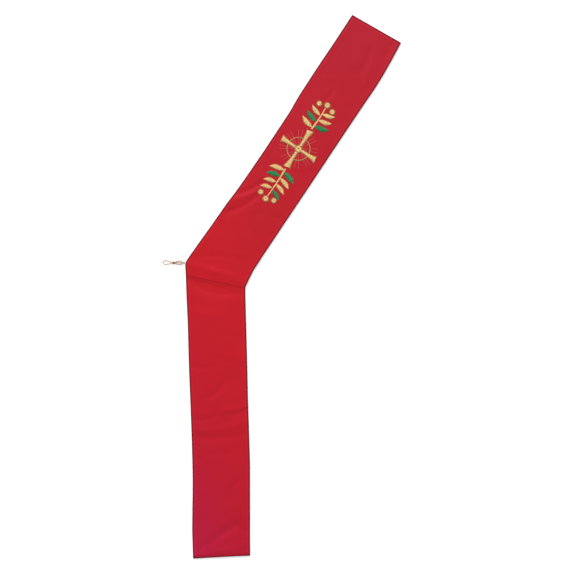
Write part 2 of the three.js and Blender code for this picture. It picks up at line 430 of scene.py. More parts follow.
def satin_material(name, painted_edge_colour):
    material, tree, shader = new_material(name, roughness=0.62, sheen=0.03, sheen_roughness=0.4,
                                          specular=0.18)
    coordinates = tree.nodes.new("ShaderNodeTexCoord")
    place = node(tree, "ShaderNodeSeparateXYZ", [(0, coordinates.outputs["Object"])])
    sideways = node(tree, "ShaderNodeMapRange", [("Value", place.outputs["X"]), ("From Min", -0.28),
                    ("From Max", -0.08), ("To Min", -PAINTED_LIGHT_SLANT), ("To Max", PAINTED_LIGHT_SLANT)])
    slant = math_node(tree, "ADD", sideways.outputs[0], place.outputs["Y"])
    share = node(tree, "ShaderNodeMapRange", [("Value", slant), ("From Min", HEM_Y - PAINTED_LIGHT_SLANT),
                 ("From Max", SHOULDER_Y + PAINTED_LIGHT_SLANT)])
    # Painted light: the ramp paints the sheen's drift along the band, and keeps the shoulder end darker, where
    # the lamp falls strongest.
    ramp = node(tree, "ShaderNodeValToRGB", [(0, share.outputs[0])])
    stops = ramp.color_ramp.elements
    while len(stops) < len(PAINTED_LIGHT_STOPS):
        stops.new(0.5)
    for stop, (position, colour) in zip(stops, PAINTED_LIGHT_STOPS):
        stop.position, stop.color = position, colour
    dye = use_group(tree, UNEVEN_DYE, {"Vector": coordinates.outputs["Object"]})
    lighter = mix(tree, dye.outputs["Factor"], (0.90, 0.88, 0.88, 1), (1.10, 1.12, 1.12, 1))
    colour = mix(tree, 1.0, ramp.outputs[0], lighter, "MULTIPLY")
    weave = use_group(tree, SATIN_WEAVE, {"Vector": coordinates.outputs["UV"], "Yarn": YARN})
    # Painted shade: the dips of the weave are painted darker.
    painted_dip_mask = math_node(tree, "MULTIPLY", weave.outputs["Dip"], 0.12)
    colour = mix(tree, painted_dip_mask, colour, WEAVE_DIP_PAINTED_SHADE)
    # Painted shade: the colour darkens towards each turned edge, where the cloth rolls under.
    edge = node(tree, "ShaderNodeAttribute", attribute_name="edge_distance")
    painted_edge_mask = node(tree, "ShaderNodeMapRange", [("Value", edge.outputs["Fac"]), ("From Min", 0.0),
                     ("From Max", PAINTED_EDGE_SHADE_REACH), ("To Min", 1.0), ("To Max", 0.0)], interpolation_type="SMOOTHSTEP")
    colour = mix(tree, painted_edge_mask.outputs[0], colour, painted_edge_colour)
    # Painted highlight: a thin band just inside each turned edge is painted lighter, where the pressed allowance
    # would catch the light.
    highlight_middle, highlight_half = sum(PAINTED_HIGHLIGHT_BAND) / 2, (PAINTED_HIGHLIGHT_BAND[1] - PAINTED_HIGHLIGHT_BAND[0]) / 2
    off_highlight_middle = math_node(tree, "ABSOLUTE", math_node(tree, "SUBTRACT", edge.outputs["Fac"], highlight_middle))
    painted_highlight_mask = node(tree, "ShaderNodeMapRange", [("Value", off_highlight_middle), ("From Min", 0.0), ("From Max", highlight_half),
                   ("To Min", 1.0), ("To Max", 0.0)])
    colour = mix(tree, painted_highlight_mask.outputs[0], colour, mix(tree, 1.0, colour, (1.22, 1.5, 1.4, 1), "MULTIPLY"))
    tree.links.new(colour, shader.inputs["Base Color"])
    bump = node(tree, "ShaderNodeBump",
                [("Strength", 0.12), ("Distance", WEAVE_BUMP), ("Height", weave.outputs["Height"])])
    tree.links.new(bump.outputs[0], shader.inputs["Normal"])
    return material


# The second colour is the painted shade along the turned edges.
front_satin = satin_material("red_satin", srgb(92, 5, 20))
back_satin = satin_material("red_satin_back", srgb(96, 6, 20))
print("cloth materials:", front_satin.name, back_satin.name)

# %% [markdown]
# ## Threads and cord
# The cord is matt cotton, cream with browner grooves. The bindings are brown sewing thread. Embroidery
# thread is glossier, and each stitch catches the light a little differently, so its shade is also read
# from an attribute that the stitch was given when it was laid.

# %% Thread materials
FIBRE_BUMP = 0.00008


def thread_material(name, light, dark, roughness, sheen, fibre=0.00012, stretch=8.0, per_stitch=0.0,
                    use_uv=True, specular=0.5):
    material, tree, shader = new_material(name, roughness=roughness, sheen=sheen, specular=specular)
    coordinates = tree.nodes.new("ShaderNodeTexCoord")
    vector = coordinates.outputs["UV" if use_uv else "Object"]
    fibres = use_group(tree, THREAD_FIBRE, {"Vector": vector, "Fibre": fibre, "Stretch": stretch})
    spread = node(tree, "ShaderNodeMapRange",
                  [("Value", fibres.outputs["Shade"]), ("From Min", 0.35), ("From Max", 0.65)])
    factor = spread.outputs[0]
    if per_stitch:
        stitch = node(tree, "ShaderNodeAttribute", attribute_name="stitch_shade")
        factor = math_node(tree, "MULTIPLY_ADD", stitch.outputs["Fac"], per_stitch, factor, clamp=True)
    colour = mix(tree, factor, dark, light)
    tree.links.new(colour, shader.inputs["Base Color"])
    bump = node(tree, "ShaderNodeBump",
                [("Strength", 0.25), ("Distance", FIBRE_BUMP), ("Height", fibres.outputs["Height"])])
    tree.links.new(bump.outputs[0], shader.inputs["Normal"])
    return material


cream_cord = thread_material("cream_cord", srgb(212, 187, 150), srgb(128, 102, 80), 0.85, 0.05, 0.00018, 6.0)
brown_thread = thread_material("brown_thread", srgb(132, 98, 78), srgb(86, 60, 46), 0.7, 0.05)
for piece, material in ((hip_cord, cream_cord), (pinch_binding, brown_thread), (root_binding, brown_thread)):
    piece.data.materials.append(material)
print("thread materials:", cream_cord.name, brown_thread.name)

# %% [markdown]
# ## The cut of each length
# The same short tables that set out the solids give the cloth its outline. Each row is one section across
# a length, in millimetres: how far it is from the hip middle, how far its right edge runs ahead of its
# left one, the half widths either side of the length's line, and how far its middle lifts off the back.

# %% Cut of the lengths
HIP_MIDDLE = np.array([-0.18987, 0.03345])
COLUMNS = ("along", "skew", "left", "right", "swell")
SHOULDER_TABLE = [
    (-15.8, 54.2, 57.6, 80.5, 1.2), (4.4, 47.2, 75.2, 77.9, 0.9), (41.0, 32.0, 74.2, 74.4, 0.6),
    (95.0, 8.0, 71.8, 74.0, 0.8), (155.0, 0.0, 70.1, 74.3, 0.6), (195.0, 0.0, 67.5, 74.5, 1.0),
    (235.0, 0.0, 66.2, 74.8, 1.2), (312.0, 0.0, 65.0, 75.2, 1.1), (430.0, 0.0, 65.0, 75.5, 1.0),
    (468.0, 0.0, 67.8, 75.6, 0.8), (545.0, 0.0, 68.6, 76.2, 0.9), (588.0, 2.0, 68.3, 77.0, 0.5),
    (625.0, 4.0, 68.0, 76.1, 0.7), (662.0, 6.0, 68.0, 73.5, 0.4), (713.5, 8.8, 68.3, 68.7, 0.2),
]
HIP_TABLE = [
    (19.5, 34.2, 71.8, 72.6, 0.2), (62.0, 16.0, 71.1, 72.2, 0.5), (117.0, 0.0, 69.6, 72.6, 0.8),
    (234.0, 0.0, 68.9, 73.0, 0.6), (312.0, 0.0, 67.4, 72.9, 1.0), (390.0, 0.0, 66.2, 73.8, 0.5),
    (468.0, 0.0, 65.7, 74.3, 0.9), (506.0, 0.0, 66.1, 73.5, 0.7), (545.0, 0.0, 67.2, 72.6, 0.8),
    (584.0, 0.0, 68.7, 71.8, 0.9), (623.0, -1.0, 69.9, 70.9, 0.6), (691.8, -3.0, 69.4, 69.7, 0.3),
]
CORNER_EASE = 0.006  # the outline is eased over this much either side of a row


class Length:
    """One straight length of the band: its line, and its sections as functions of the way along it."""

    def __init__(self, table, lean_degrees, runs_up):
        lean = math.radians(lean_degrees)
        self.ahead = np.array([math.sin(lean), math.cos(lean) if runs_up else -math.cos(lean)])
        self.to_right = np.array([self.ahead[1], -self.ahead[0]]) * (1 if runs_up else -1)
        self.rows = {name: np.array([row[i] for row in table]) * MM for i, name in enumerate(COLUMNS)}
        self.start, self.end = self.rows["along"][0], self.rows["along"][-1]

    def value(self, column, along):
        """A column of the table, eased a little at its rows and left as it is at the two ends."""
        ease = np.minimum(CORNER_EASE, np.minimum(along - self.start, self.end - along).clip(0))
        shifts = np.linspace(-1, 1, 7)
        return np.mean([np.interp(along + shift * ease, self.rows["along"], self.rows[column])
                        for shift in shifts], axis=0)

    def width(self, along):
        return self.value("left", along) + self.value("right", along)

    def place(self, along, share):
        """The plan point at a section, a share of the way from its left edge to its right edge."""
        across = self.width(along) * share - self.value("left", along)
        ahead = along + self.value("skew", along) * (share - 0.5)
        x = HIP_MIDDLE[0] + self.ahead[0] * ahead + self.to_right[0] * across
        y = HIP_MIDDLE[1] + self.ahead[1] * ahead + self.to_right[1] * across
        return x, y, ahead, across


SHOULDER_LENGTH = Length(SHOULDER_TABLE, 33.46, True)
HIP_LENGTH = Length(HIP_TABLE, 1.28, False)
for name, length, node_box in (("shoulder", SHOULDER_LENGTH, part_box("front_shoulder_band")),
                                ("hip", HIP_LENGTH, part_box("front_hip_band"))):
    corners = [length.place(a, s)[:2] for a in (length.start, length.end) for s in (0.0, 1.0)]
    print(name, "corners, m:", np.round(corners, 4).tolist())
    print("   CAD box, m:", [round(c, 4) for c in (*node_box[0], *node_box[1])])

# %% [markdown]
# ## Creases
# Cloth that has been folded away and laid out keeps faint creases. Each is listed as a soft trough
# (a negative height) or ridge (a positive one) along a short line, in millimetres of way along a length and
# across it, with its own width. They are uneven on purpose: the strong ones are the ridge above the hip seam
# with the trough under it, two slanting troughs below the embroidery, and one that slants up from the hem.

# %% Crease tables
# along and across at one end, the same at the other, half width, height
SHOULDER_CREASES = [
    (-19, -61, 2, -2, 9, 0.55), (0, -8, 17, 62, 9, 0.60), (2, -66, 66, 44, 7, -0.30),
    (247, -26, 190, -61, 7, -0.75), (229, -26, 176, -62, 7, 0.55), (208, -20, 140, -58, 8, -0.85),
    (194, 46, 197, 72, 6, -0.45), (188, -6, 178, 8, 7, -0.40), (525, -5, 500, -9, 5, -0.40),
    (658, 16, 608, 27, 9, -0.60), (603, 40, 592, 50, 8, 0.45), (690, 50, 678, 56, 9, -0.45),
    (575, -58, 552, -30, 9, 0.35), (120, 20, 92, 66, 10, 0.40), (110, -60, 84, -14, 10, -0.30),
    (640, -60, 628, -20, 10, -0.25), (420, 62, 396, 74, 7, -0.35), (300, -64, 276, -54, 6, -0.30),
]
HIP_CREASES = [
    (10, -68, 34, -22, 13, -1.00), (32, -26, 47, 20, 14, -0.95), (44, 16, 50, 66, 12, -0.65),
    (226, -66, 229, -24, 5, -0.40), (302, -20, 260, 24, 10, -0.55), (334, 14, 324, 70, 7, 0.50),
    (347, 30, 337, 66, 6, -0.45), (357, -54, 349, -6, 7, -0.45), (381, -60, 364, 66, 8, 0.50),
    (398, -54, 393, 64, 8, -0.50), (466, -58, 470, -48, 9, 0.40), (508, 44, 554, 22, 9, -0.60),
    (662, -40, 628, 10, 9, -0.80), (634, 4, 612, 40, 9, -0.85), (614, 34, 632, 66, 8, -0.55),
    (676, -6, 662, 60, 7, 0.50), (92, -50, 104, 10, 11, 0.35), (168, 60, 150, 22, 11, -0.35),
    (196, 10, 206, 62, 10, 0.30), (440, -10, 430, 44, 11, -0.30), (560, -58, 590, -40, 9, 0.35),
]


CREASE_DEPTH = 2.0


def crease_lift(creases, ahead, across):
    """The height that all the creases add at points given by their way along and across a length."""
    total = np.zeros_like(ahead)
    for along_0, across_0, along_1, across_1, half_width, height in creases:
        start = np.array([along_0, across_0]) * MM
        run = np.array([along_1, across_1]) * MM - start
        long = np.linalg.norm(run)
        share = ((ahead - start[0]) * run[0] + (across - start[1]) * run[1]) / long**2
        bow = 0.06 * long * np.sin(math.pi * np.clip(share, 0, 1))
        off = ((ahead - start[0]) * run[1] - (across - start[1]) * run[0]) / long - bow
        beyond = np.maximum(0, np.maximum(-share, share - 1)) * long
        width = half_width * MM * (0.85 + 0.3 * np.clip(share, 0, 1))
        fade = np.exp(-((beyond / (1.2 * half_width * MM)) ** 2))
        total += CREASE_DEPTH * height * MM * np.exp(-((off / width) ** 2)) * fade
    return total


def gentle_waves(ahead, across, seed):
    """The slow unevenness of cloth that lies free, a fraction of a millimetre high."""
    waves = ((0.21, 0.40, 0.16), (0.13, -0.26, 0.11), (0.083, 0.11, 0.08), (0.047, -0.09, 0.05))
    total = np.zeros_like(ahead)
    for i, (long, wide, height) in enumerate(waves):
        phase = seed * 1.7 + i * 2.1
        total += height * MM * np.sin(2 * math.pi * (ahead / long + across / wide) + phase)
    return total


# The back lies under the front, so its own creases are only guessed, and all of them are troughs.
BACK_SHOULDER_CREASES = [
    (30, -50, 60, 30, 9, -0.12), (260, 40, 220, 66, 8, -0.15), (480, -60, 450, 0, 10, -0.12),
]
BACK_HIP_CREASES = [
    (60, -60, 90, 10, 10, -0.14), (300, 10, 340, 64, 9, -0.12), (600, -50, 560, 30, 10, -0.15),
]
print("creases:", len(SHOULDER_CREASES), "on the shoulder length,", len(HIP_CREASES), "on the hip length")

# %% [markdown]
# ## Cloth
# Each length is a thin closed shell: an upper and an under side on one grid, which meet at the turned edges.
# A flat plane with Solidify would have hard, square edges, so the grid is drawn closer at the edges, where
# both sides roll together over two millimetres. The seam allowances turned inside show as a faint step
# along both edges, and the hem has its own narrower one. A simulation isn't needed: the stole lies at rest.

# %% Cloth shells
PLY = 0.0020  # one length, two turned plies thick
PLY_GAP = 0.0003
BACK_TOP = PLY
FRONT_BASE = PLY + PLY_GAP
GRID_STEP = 0.0026
EDGE_STEPS = (0.0, 0.00012, 0.0004, 0.0008, 0.0013, 0.0019, 0.0027, 0.0038)
EDGE_ROLL = 0.0021
SEAM_EASE, SEAM_SWELL = 0.009, 0.0006  # both lengths come to one height over this much of the seam
SEAM_CLOSE = 0.00017  # how far each length is eased up to the other at the sewn hip seam
ALLOWANCE, HEM_TURN = 0.0125, 0.0060
ALLOWANCE_STEP = 0.00022
BACK_HEM_SHOWS = 0.0015  # how far the back's left hem corner shows past the front's
WAVES_START = 0.02  # the slow waves reach their full height this far in from the sides
HAIR = 0.0001  # the least clearance between the layers, and the least thickness at a rim


def graded(start, end):
    """Places from start to end, close together near both and evenly spaced between."""
    count = max(2, int((end - start - 2 * EDGE_STEPS[-1]) / GRID_STEP))
    inner = np.linspace(start + EDGE_STEPS[-1], end - EDGE_STEPS[-1], count + 1)
    near = np.array(EDGE_STEPS[:-1])
    return np.concatenate([start + near, inner, end - near[::-1]])


def smooth_step(value, low, high):
    t = np.clip((value - low) / (high - low), 0, 1)
    return t * t * (3 - 2 * t)


def edge_distances(length, along, ahead, share):
    """How far each point is from the side edges, and from the start and the end of its length."""
    width = length.width(along)
    side = np.minimum(share, 1 - share) * width
    slope = length.value("skew", along) / width
    square_on = 1 / np.sqrt(1 + slope**2)
    return side, (along - length.start) * square_on, (length.end - along) * square_on


def face_height(length, creases, along, share, base, swells, seed):
    """The middle height of the wall at each point, and its distance from the nearest edge."""
    x, y, ahead, across = length.place(along, share)
    side, from_start, from_end = edge_distances(length, along, ahead, share)
    lift = gentle_waves(ahead, across, seed) * smooth_step(side, 0, WAVES_START)
    lift = lift + crease_lift(creases, ahead, across)
    lift = lift + (length.value("swell", along) * np.sin(math.pi * share) if swells else 0)
    off_seam = smooth_step(from_start, 0, SEAM_EASE)
    at_seam = SEAM_SWELL * np.sin(math.pi * np.clip(share, 0, 1)) if swells else 0
    lift = lift * off_seam + at_seam * (1 - off_seam)
    lift = lift + ALLOWANCE_STEP * (1 - smooth_step(side, ALLOWANCE - 0.0008, ALLOWANCE + 0.0008))
    if length is HIP_LENGTH:
        lift = lift + ALLOWANCE_STEP * (1 - smooth_step(from_end, HEM_TURN - 0.0006, HEM_TURN + 0.0006))
    nearest = np.minimum(side, from_end)
    return x, y, base + PLY / 2 + lift, nearest


def cloth_shell(name, length, creases, base, swells, seed, floor, end_shift=None):
    """A length of cloth as a closed shell, with a UV map in metres and its edge distance as an attribute."""
    stations = graded(length.start - SEAM_CLOSE, length.end)
    typical = float(np.median(length.width(stations)))
    shares = graded(0.0, typical) / typical
    along, share = np.meshgrid(stations, shares, indexing="ij")
    x, y, middle, nearest = face_height(length, creases, along, share, base, swells, seed)
    if end_shift is not None:
        slip = end_shift * smooth_step(along, length.end - 0.06, length.end) * (1 - share)
        x, y = x + length.ahead[0] * slip, y + length.ahead[1] * slip
    roll = np.sqrt(1 - (1 - np.clip(nearest / EDGE_ROLL, 0, 1)) ** 2)
    top = middle + PLY / 2 * roll
    bottom = np.maximum(np.minimum(middle, base + PLY / 2) - PLY / 2 * roll, floor)
    top = np.maximum(top if swells else np.minimum(top, BACK_TOP), bottom + HAIR)
    rows, columns = x.shape
    rim = np.zeros_like(x, bool)
    rim[0], rim[-1], rim[:, 0], rim[:, -1] = True, True, True, True
    upper = np.arange(rows * columns).reshape(rows, columns)
    lower = upper.copy()
    lower[~rim] = rows * columns + np.arange((~rim).sum())
    edge_height = (top + bottom) / 2
    heights = np.where(rim, edge_height, top)
    points = np.column_stack([x.ravel(), y.ravel(), heights.ravel()])
    points = np.vstack([points, np.column_stack([x[~rim], y[~rim], bottom[~rim]])])
    faces = []
    for i in range(rows - 1):
        for k in range(columns - 1):
            for side in (upper, lower):
                quad = (side[i, k], side[i + 1, k], side[i + 1, k + 1], side[i, k + 1])
                at_end, at_side = i in (0, rows - 2), k in (0, columns - 2)
                if at_end and at_side:  # split through the corner, so the two sides share no triangle
                    turn = 0 if (i == 0) == (k == 0) else 1
                    quad = quad[turn:] + quad[:turn]
                    faces += [quad[:3], (quad[0], quad[2], quad[3])]
                else:
                    faces.append(quad)
    piece = mesh_piece(name, points, [tuple(int(v) for v in f) for f in faces])
    plan = np.column_stack([((share - 0.5) * typical).ravel(), along.ravel()])
    plan = np.vstack([plan, plan.reshape(rows, columns, 2)[~rim]])
    uv = piece.data.uv_layers.new(name="UVMap")
    corners = np.zeros(len(piece.data.loops), np.int32)
    piece.data.loops.foreach_get("vertex_index", corners)
    uv.data.foreach_set("uv", plan[corners].astype(np.float32).ravel())
    edge = piece.data.attributes.new("edge_distance", "FLOAT", "POINT")
    edge.data.foreach_set("value", np.concatenate([nearest.ravel(), nearest[~rim]]).astype(np.float32))
    print(name, "faces:", len(faces), "top, mm:", round(float(top.max()) / MM, 2))
    return piece


front_shoulder = cloth_shell("front_shoulder_cloth", SHOULDER_LENGTH, SHOULDER_CREASES,
                             FRONT_BASE, True, 1.0, BACK_TOP + HAIR)
front_hip = cloth_shell("front_hip_cloth", HIP_LENGTH, HIP_CREASES, FRONT_BASE, True, 2.0, BACK_TOP + HAIR)
back_shoulder = cloth_shell("back_shoulder_cloth", SHOULDER_LENGTH, BACK_SHOULDER_CREASES,
                            0.0, False, 3.0, 0.0)
back_hip = cloth_shell("back_hip_cloth", HIP_LENGTH, BACK_HIP_CREASES, 0.0, False, 4.0, 0.0,
                       end_shift=BACK_HEM_SHOWS)
for piece in (front_shoulder, front_hip):
    piece.data.materials.append(front_satin)
for piece in (back_shoulder, back_hip):
    piece.data.materials.append(back_satin)

# %% [markdown]
# ## Satin-stitch rows
# Machine embroidery fills each shape with satin stitch: threads laid side by side right across the shape,
# from one outline to the other, so the fill is raised and glossy. A node tree does the same along any
# curve: it resamples the curve at the thread's pitch and lays one arched thread across it at each point,
# as long as the shape is wide there. Threads differ a little in length, slant and shade, from a fixed seed.

# %% Stitch node tree
def arched_thread(name, sides=5, steps=4):
    """One thread along X, from -0.5 to 0.5, with an arch one unit high and a section one unit thick."""
    points, faces = [], []
    for i in range(steps + 1):
        share = i / steps
        rise = math.sin(math.pi * share) ** 0.6 if 0 < share < 1 else 0.0
        thick = 1.0 if 0 < i < steps else 0.55
        for k in range(sides):
            angle = 2 * math.pi * k / sides + math.pi / 2
            points.append((share - 0.5, 0.5 * thick * math.cos(angle), rise + 0.5 * thick * math.sin(angle)))
    for i in range(steps):
        for k in range(sides):
            n = (k + 1) % sides
            faces.append((i * sides + k, i * sides + n, (i + 1) * sides + n, (i + 1) * sides + k))
    faces.append(tuple(range(sides)))
    faces.append(tuple(steps * sides + k for k in reversed(range(sides))))
    piece = mesh_piece(name, points, faces)
    mesh = piece.data
    bpy.data.objects.remove(piece)
    return mesh


def satin_stitch_tree():
    """Curve in, rows of thread out. The curve's points carry half_width, half the stitch length there."""
    tree, given, out = new_group(
        "satin_stitch",
        [("Geometry", "NodeSocketGeometry", None), ("Thread", "NodeSocketObject", None),
         ("Pitch", "NodeSocketFloat", 0.0004), ("Height", "NodeSocketFloat", 0.0005),
         ("Slant", "NodeSocketFloat", 0.25), ("Unevenness", "NodeSocketFloat", 0.08),
         ("Seed", "NodeSocketInt", 1), ("Material", "NodeSocketMaterial", None)],
        [("Geometry", "NodeSocketGeometry", None)], "GeometryNodeTree",
    )

    def random(low, high, shift):
        seed = node(tree, "ShaderNodeMath", [(0, given.outputs["Seed"]), (1, float(shift))], operation="ADD")
        made = node(tree, "FunctionNodeRandomValue", data_type="FLOAT")
        made.inputs[2].default_value, made.inputs[3].default_value = low, high
        tree.links.new(seed.outputs[0], made.inputs["Seed"])
        return made.outputs[1]

    line = node(tree, "GeometryNodeMeshToCurve", [(0, given.outputs["Geometry"])])
    rows = node(tree, "GeometryNodeCurveToPoints",
                [("Curve", line.outputs[0]), ("Length", given.outputs["Pitch"])], mode="LENGTH")
    uneven = math_node(tree, "MULTIPLY_ADD", random(-1.0, 1.0, 1), given.outputs["Unevenness"], 1.0)
    half = node(tree, "GeometryNodeInputNamedAttribute", [("Name", "half_width")],
                data_type="FLOAT").outputs[0]
    long = math_node(tree, "MULTIPLY", math_node(tree, "MULTIPLY", half, 2.0), uneven)
    slant = math_node(tree, "MULTIPLY_ADD", random(-1.0, 1.0, 2), 0.05, given.outputs["Slant"])
    ahead = node(tree, "ShaderNodeSeparateXYZ", [(0, rows.outputs["Tangent"])])
    heading = math_node(tree, "ARCTAN2", ahead.outputs["Y"], ahead.outputs["X"])
    turned = math_node(tree, "ADD", math_node(tree, "ADD", heading, math.pi / 2), slant)
    turn = node(tree, "ShaderNodeCombineXYZ", [(2, turned)])
    size = node(tree, "ShaderNodeCombineXYZ",
                [(0, long), (1, math_node(tree, "MULTIPLY", given.outputs["Pitch"], 1.15)),
                 (2, given.outputs["Height"])])
    thread = node(tree, "GeometryNodeObjectInfo", [("Object", given.outputs["Thread"])],
                  transform_space="ORIGINAL")
    laid = node(tree, "GeometryNodeInstanceOnPoints",
                [("Points", rows.outputs["Points"]), ("Instance", thread.outputs["Geometry"]),
                 ("Rotation", turn.outputs[0]), ("Scale", size.outputs[0])])
    shaded = node(tree, "GeometryNodeStoreNamedAttribute",
                  [("Geometry", laid.outputs[0]), ("Name", "stitch_shade"), ("Value", random(-0.5, 0.5, 3))],
                  data_type="FLOAT", domain="INSTANCE")
    real = node(tree, "GeometryNodeRealizeInstances", [(0, shaded.outputs[0])])
    done = node(tree, "GeometryNodeSetMaterial",
                [("Geometry", real.outputs[0]), ("Material", given.outputs["Material"])])
    tree.links.new(done.outputs[0], out.inputs["Geometry"])
    return tree


SATIN_STITCH = satin_stitch_tree()
UNIT_THREAD = bpy.data.objects.new("unit_thread", arched_thread("unit_thread_mesh"))


def stitched(name, lines, material, pitch, height, slant=0.25, unevenness=0.08, seed=1):
    """Rows of satin stitch along lines of (points, half widths), made by the node tree and kept as a mesh."""
    points, edges, halves = [], [], []
    for line, half_widths in lines:
        first = len(points)
        points += [tuple(p) for p in line]
        halves += list(np.broadcast_to(half_widths, len(line)))
        edges += [(first + i, first + i + 1) for i in range(len(line) - 1)]
    data = bpy.data.meshes.new(name + "_lines")
    data.from_pydata(points, edges, [])
    half_width = data.attributes.new("half_width", "FLOAT", "POINT")
    half_width.data.foreach_set("value", np.array(halves, np.float32))
    carrier = bpy.data.objects.new(name + "_lines", data)
    bpy.context.scene.collection.objects.link(carrier)
    modifier = carrier.modifiers.new("satin_stitch", "NODES")
    modifier.node_group = SATIN_STITCH
    settings = {"Thread": UNIT_THREAD, "Pitch": pitch, "Height": height, "Slant": slant,
                "Unevenness": unevenness, "Seed": seed, "Material": material}
    for item in SATIN_STITCH.interface.items_tree:
        if item.item_type == "SOCKET" and item.in_out == "INPUT" and item.name in settings:
            modifier[item.identifier] = settings[item.name]
    bpy.context.view_layer.update()
    evaluated = carrier.evaluated_get(bpy.context.evaluated_depsgraph_get())
    mesh = bpy.data.meshes.new_from_object(evaluated)
    carrier.modifiers.clear()
    bpy.data.objects.remove(carrier)
    piece = bpy.data.objects.new(name, mesh)
    bpy.context.scene.collection.objects.link(piece)
    mesh.polygons.foreach_set("use_smooth", [True] * len(mesh.polygons))
    print(name, "faces:", len(mesh.polygons))
    return piece


# %% [markdown]
# ## The embroidered emblem
# The emblem lies on the shoulder length, along its own line. It is a plain one: an equal-armed cross with
# flared arms and a round boss, between two upright leafy sprays that end in round buds, with thin rose
# rays from the cross. Every shape is set out in its own frame, u across and v along the length, in
# millimetres from the emblem's middle, and then laid on the cloth at the cloth's own height.

# %% Emblem
EMBLEM_MIDDLE = (352.0, 3.0)  # along and across the shoulder length, mm
LIFT_OFF_CLOTH = 0.00012


def on_shoulder_top(u, v, lift=LIFT_OFF_CLOTH):
    """Points on the front shoulder cloth from the emblem's own millimetres."""
    across = (np.asarray(u, float) + EMBLEM_MIDDLE[1]) * MM
    ahead = (np.asarray(v, float) + EMBLEM_MIDDLE[0]) * MM
    share = (across + SHOULDER_LENGTH.value("left", ahead)) / SHOULDER_LENGTH.width(ahead)
    x, y, middle, nearest = face_height(SHOULDER_LENGTH, SHOULDER_CREASES, ahead, share, FRONT_BASE,
                                        True, 1.0)
    return np.column_stack([x, y, middle + PLY / 2 + lift])


def laid_line(points, lift=LIFT_OFF_CLOTH, step=1.0):
    """A smooth line through emblem points, laid on the cloth."""
    flat = smooth_route([(u, v, 0.0) for u, v in points], step)
    return on_shoulder_top(flat[:, 0], flat[:, 1], lift)


def shaped_line(points, widths):
    """A line on the cloth with a half width, in mm, given at each of its points."""
    flat = smooth_route([(u, v, w) for (u, v), w in zip(points, widths)], 1.0)
    return on_shoulder_top(flat[:, 0], flat[:, 1]), flat[:, 2] * MM


def around(u, v, radius, start=0.0, turn=2 * math.pi, corners=28):
    angles = [start + turn * i / corners for i in range(corners + 1)]
    return [(u + radius * math.cos(angle), v + radius * math.sin(angle)) for angle in angles]


gold, gold_edges, green, green_edges, rose = [], [], [], [], []
CROSS_V = 12.0
for quarter in range(4):
    turn = quarter * math.pi / 2
    reach = 52.0 if quarter % 2 == 0 else 48.0

    def arm(out, side):
        u = side * math.cos(turn) + out * math.sin(turn)
        return u, CROSS_V + out * math.cos(turn) - side * math.sin(turn)

    gold.append(shaped_line([arm(out, 0) for out in (9, 18, 30, 40, reach)], (3.4, 3.6, 4.4, 6.0, 9.0)))
    for side in (-1, 1):
        rim = [arm(out, side * w)
               for out, w in ((9, 3.8), (18, 4.0), (30, 4.8), (40, 6.4), (reach + 0.4, 9.5))]
        gold_edges.append((laid_line(rim), 0.00045))
    end = [arm(reach + 0.4, -9.5), arm(reach - 1.6, 0), arm(reach + 0.4, 9.5)]
    gold_edges.append((laid_line(end), 0.00045))
    for spread in (-0.42, -0.21, 0.21, 0.42):
        angle = math.pi / 4 + spread
        ray = [arm(d * math.cos(angle), d * math.sin(angle)) for d in (13, 30, 47)]
        rose.append((laid_line(ray), 0.00075))
gold.append((laid_line(around(0, CROSS_V, 5.0)), 0.0040))
gold_edges.append((laid_line(around(0, CROSS_V, 10.0), LIFT_OFF_CLOTH * 2), 0.00055))
gold_edges.append((laid_line(around(0, CROSS_V, 28.0), LIFT_OFF_CLOTH * 2), 0.0018))

for direction, spray in ((1, 60.0), (-1, 78.0)):
    foot = CROSS_V + direction * 58.0
    stem = [(1.5 * math.sin(3.0 * t), foot + direction * spray * t) for t in np.linspace(0, 1, 7)]
    gold.append(shaped_line(stem, np.linspace(2.6, 1.6, 7)))
    for i in range(3 if direction > 0 else 4):
        v0 = foot + direction * (4 + 17.5 * i)
        size = 1.0 - 0.07 * i
        for n, side in enumerate((-1, 1)):
            start = v0 + direction * 5.0 * n
            leaf = [(side * 2.0, start), (side * 12.0 * size, start + direction * 2.0),
                    (side * 24.0 * size, start + direction * 5.0),
                    (side * 36.0 * size, start + direction * 11.0)]
            target, edges = (green, green_edges) if (i + n) % 3 == 1 else (gold, gold_edges)
            target.append(shaped_line(leaf, (0.8, 5.6 * size, 6.0 * size, 0.6)))
            for edge_side in (-1, 1):
                rim = [(u + edge_side * w * direction * 0.55 * -side, v + edge_side * w * 0.8)
                       for (u, v), w in zip(leaf, (0.4, 6.2 * size, 6.6 * size, 0.4))]
                edges.append((laid_line(rim), 0.00035))
    tip = foot + direction * spray
    for u, v, radius in ((0, 9, 7.4), (-19, 2, 6.6), (19, 2, 6.6)):
        gold.append((laid_line(around(u, tip + direction * v, radius * 0.52)), radius * 0.5 * MM))
        gold_edges.append((laid_line(around(u, tip + direction * v, radius * 1.08)), 0.00040))

# %% Embroidery threads
# a thread's name, its light and dark shades, its roughness, and how much its stitches differ
EMBROIDERY_THREADS = [
    ("gold_thread", srgb(244, 214, 152), srgb(196, 150, 84), 0.42, 0.7),
    ("gold_edge_thread", srgb(200, 156, 92), srgb(138, 92, 46), 0.5, 0.5),
    ("green_thread", srgb(20, 150, 84), srgb(8, 104, 58), 0.45, 0.7),
    ("green_edge_thread", srgb(112, 146, 100), srgb(70, 104, 70), 0.5, 0.5),
    ("rose_thread", srgb(228, 92, 92), srgb(190, 58, 66), 0.5, 0.6),
]
threads = {name: thread_material(name, light, dark, roughness, 0.1, per_stitch=differ, use_uv=False,
                                 stretch=1.0)
           for name, light, dark, roughness, differ in EMBROIDERY_THREADS}

# %% Embroidery stitches
FILL_PITCH, OUTLINE_PITCH = 0.00055, 0.0009
FILL_SLANT, OUTLINE_SLANT = 0.25, 0.9
